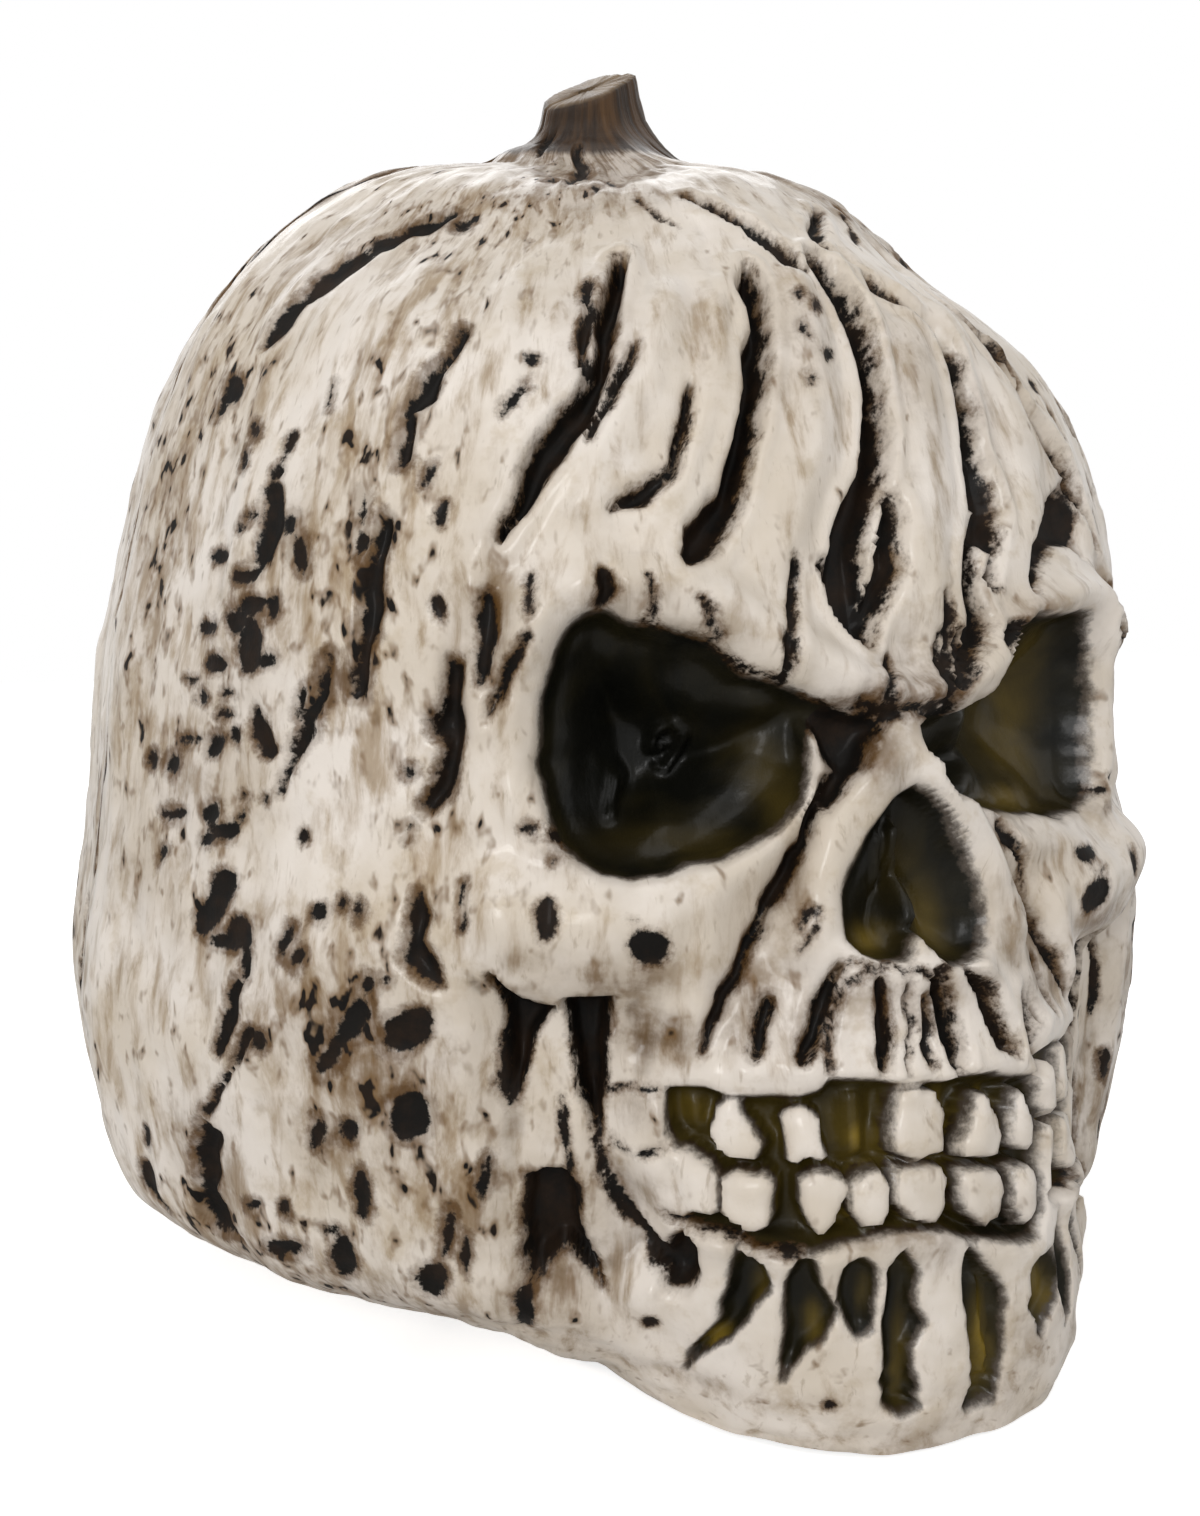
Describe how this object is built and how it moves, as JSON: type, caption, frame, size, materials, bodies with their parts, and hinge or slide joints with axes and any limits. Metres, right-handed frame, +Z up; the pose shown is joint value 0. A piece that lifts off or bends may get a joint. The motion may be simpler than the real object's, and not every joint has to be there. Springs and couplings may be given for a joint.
{
  "type": "skull candle holder",
  "caption": "Hollow pumpkin-shaped skull in two moulded shells on a screwed base, lit by a push-in battery candle with hinged battery door and slide switch.",
  "frame": {"origin": "on the table under the middle of the footprint", "axes": "+Z up, the face looks towards -Y, +X is the skull's own left"},
  "size_m": [0.2238, 0.2368, 0.2438],
  "materials": {
    "bone_shell": "olive translucent plastic, painted bone white with a brown and black wash",
    "olive_plastic": "unpainted dark olive plastic",
    "black_plastic": "fine grained black plastic",
    "knob_plastic": "ivory plastic",
    "wax_plastic": "satin wax-coloured plastic",
    "flame_silicone": "translucent amber silicone",
    "led_lens": "clear warm lens",
    "circuit_board": "green solder mask",
    "cell_jacket": "plain printed steel jacket",
    "contact_metal": "nickel-plated spring steel",
    "steel": "zinc-plated steel",
    "rubber": "black rubber",
    "wire_red": "red insulated wire",
    "wire_black": "black insulated wire"
  },
  "bodies": {
    "skull": {"front_shell": "bone_shell", "rear_shell": "bone_shell", "base_plate": "olive_plastic", "base_screw_1": "steel", "base_screw_2": "steel", "base_screw_3": "steel", "base_screw_4": "steel", "foot_1": "rubber", "foot_2": "rubber", "foot_3": "rubber", "foot_4": "rubber"},
    "candle": {"candle_housing": "black_plastic", "grip_ring": "rubber", "door_hinge_pin": "steel", "battery_1": "cell_jacket", "spring_contact_1": "contact_metal", "plate_contact_1": "contact_metal", "battery_2": "cell_jacket", "spring_contact_2": "contact_metal", "plate_contact_2": "contact_metal", "battery_3": "cell_jacket", "spring_contact_3": "contact_metal", "plate_contact_3": "contact_metal", "circuit_board": "circuit_board", "switch_body": "black_plastic", "candle_deck": "wax_plastic", "deck_screw_1": "steel", "deck_screw_2": "steel", "deck_screw_3": "steel", "candle_sleeve": "wax_plastic", "led_post": "wax_plastic", "led_lamp": "led_lens", "flame_tip": "flame_silicone", "lamp_wire_1": "wire_red", "lamp_wire_2": "wire_black"},
    "battery_door": {"battery_door": "black_plastic"},
    "switch_knob": {"switch_knob": "knob_plastic"}
  },
  "joints": [
    {"name": "candle_pull", "type": "slide", "parent": "skull", "child": "candle", "axis": [0, 0, -1], "range_m": [0, 0.12]},
    {"name": "battery_door_hinge", "type": "hinge", "parent": "candle", "child": "battery_door", "pos_m": [0, -0.018, 0.0057], "axis": [-1, 0, 0], "range_deg": [0, 95]},
    {"name": "switch_slide", "type": "slide", "parent": "candle", "child": "switch_knob", "axis": [0, 1, 0], "range_m": [0, 0.006]}
  ]
}
